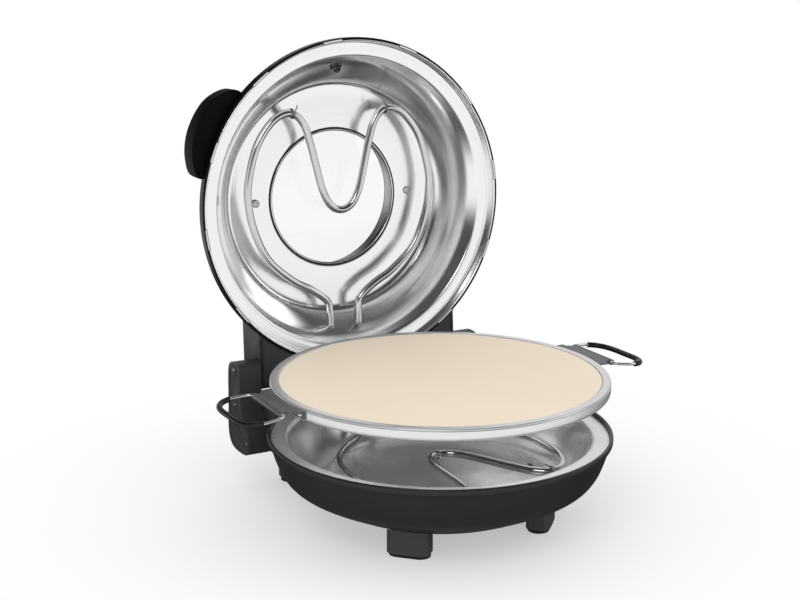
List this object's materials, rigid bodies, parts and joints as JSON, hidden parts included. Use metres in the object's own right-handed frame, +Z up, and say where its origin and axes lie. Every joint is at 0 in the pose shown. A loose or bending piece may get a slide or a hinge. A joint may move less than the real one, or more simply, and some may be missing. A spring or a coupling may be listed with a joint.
{
  "type": "electric pizza maker",
  "caption": "Round electric pizza maker: bowl-shaped heated base, lift-out stone tray with folding wire handles, and a domed, heated lid with a round window on a rear hinge.",
  "frame": {"origin": "on the table, under the centre of the base bowl", "axes": "+X to the right seen from the front, +Y to the rear towards the hinge, +Z up"},
  "size_m": [0.4314, 0.4249, 0.4428],
  "materials": {
    "black_enamel": "satin black paint",
    "liner_steel": "bright satin steel",
    "heater_steel": "satin grey heating tube",
    "ceramic": "off-white ceramic",
    "thermostat_body": "dark moulded body",
    "bright_steel": "bright metal",
    "tray_steel": "satin steel",
    "stone": "matt cream baking stone",
    "bracket_grey": "dark grey paint",
    "wire_steel": "bright wire",
    "grip_black": "black sleeve",
    "glass": "clear toughened glass",
    "rubber": "black rubber",
    "foot_plastic": "satin black plastic",
    "handle_plastic": "satin black plastic",
    "hinge_plastic": "satin black plastic"
  },
  "bodies": {
    "base": {"base_shell": "black_enamel", "base_dish": "liner_steel", "base_heater": "heater_steel", "base_heater_holders": "bright_steel", "base_heater_bushes": "ceramic", "base_dish_screws": "bright_steel", "base_thermostat": "thermostat_body", "base_thermal_fuse": "ceramic", "foot_front_left": "foot_plastic", "foot_front_right": "foot_plastic", "foot_rear_left": "foot_plastic", "foot_rear_right": "foot_plastic", "foot_pads": "rubber", "foot_screws": "bright_steel", "rear_housing": "hinge_plastic", "rear_bottom_plate": "hinge_plastic", "bottom_plate_screws": "bright_steel", "terminal_block": "ceramic", "cord_inlet": "hinge_plastic", "hinge_block_left": "hinge_plastic", "hinge_block_right": "hinge_plastic", "block_cover_left": "hinge_plastic", "block_cover_right": "hinge_plastic", "block_screws": "bright_steel", "block_mount_screws": "bright_steel", "hinge_pins": "bright_steel"},
    "lid": {"lid_shell": "black_enamel", "lid_liner": "liner_steel", "lid_rim_tabs": "bright_steel", "lid_heater": "heater_steel", "lid_heater_holders": "bright_steel", "lid_heater_bushes": "ceramic", "lid_liner_screws": "bright_steel", "lid_clip_bolt": "bright_steel", "lid_window_glass": "glass", "lid_window_gasket": "rubber", "lid_window_sleeve": "bright_steel", "lid_window_trim": "hinge_plastic", "lid_handle": "handle_plastic", "lid_handle_screws": "bright_steel", "lid_tower": "hinge_plastic", "lid_tower_cover": "hinge_plastic", "lid_tower_screws": "bright_steel"},
    "tray": {"tray_pan": "tray_steel", "stone": "stone", "bracket_left": "bracket_grey", "bracket_right": "bracket_grey", "bracket_rivets": "bright_steel"},
    "handle_left": {"bail_left": "wire_steel", "grip_left": "grip_black"},
    "handle_right": {"bail_right": "wire_steel", "grip_right": "grip_black"}
  },
  "joints": [
    {"name": "lid_hinge", "type": "hinge", "parent": "base", "child": "lid", "pos_m": [0, 0.172, 0.1045], "axis": [1, 0, 0], "range_deg": [0, 92]},
    {"name": "tray_lift", "type": "slide", "parent": "base", "child": "tray", "axis": [0, 0, 1], "range_m": [-0.0425, 0]},
    {"name": "handle_left_fold", "type": "hinge", "parent": "tray", "child": "handle_left", "pos_m": [-0.175, 0, 0.1364], "axis": [0, 1, 0], "range_deg": [0, 84]},
    {"name": "handle_right_fold", "type": "hinge", "parent": "tray", "child": "handle_right", "pos_m": [0.175, 0, 0.1364], "axis": [0, -1, 0], "range_deg": [0, 84]}
  ],
  "couplings": [
    {"joint": "tray_lift", "follows": "lid_hinge", "m_per_rad": -0.02646}
  ]
}
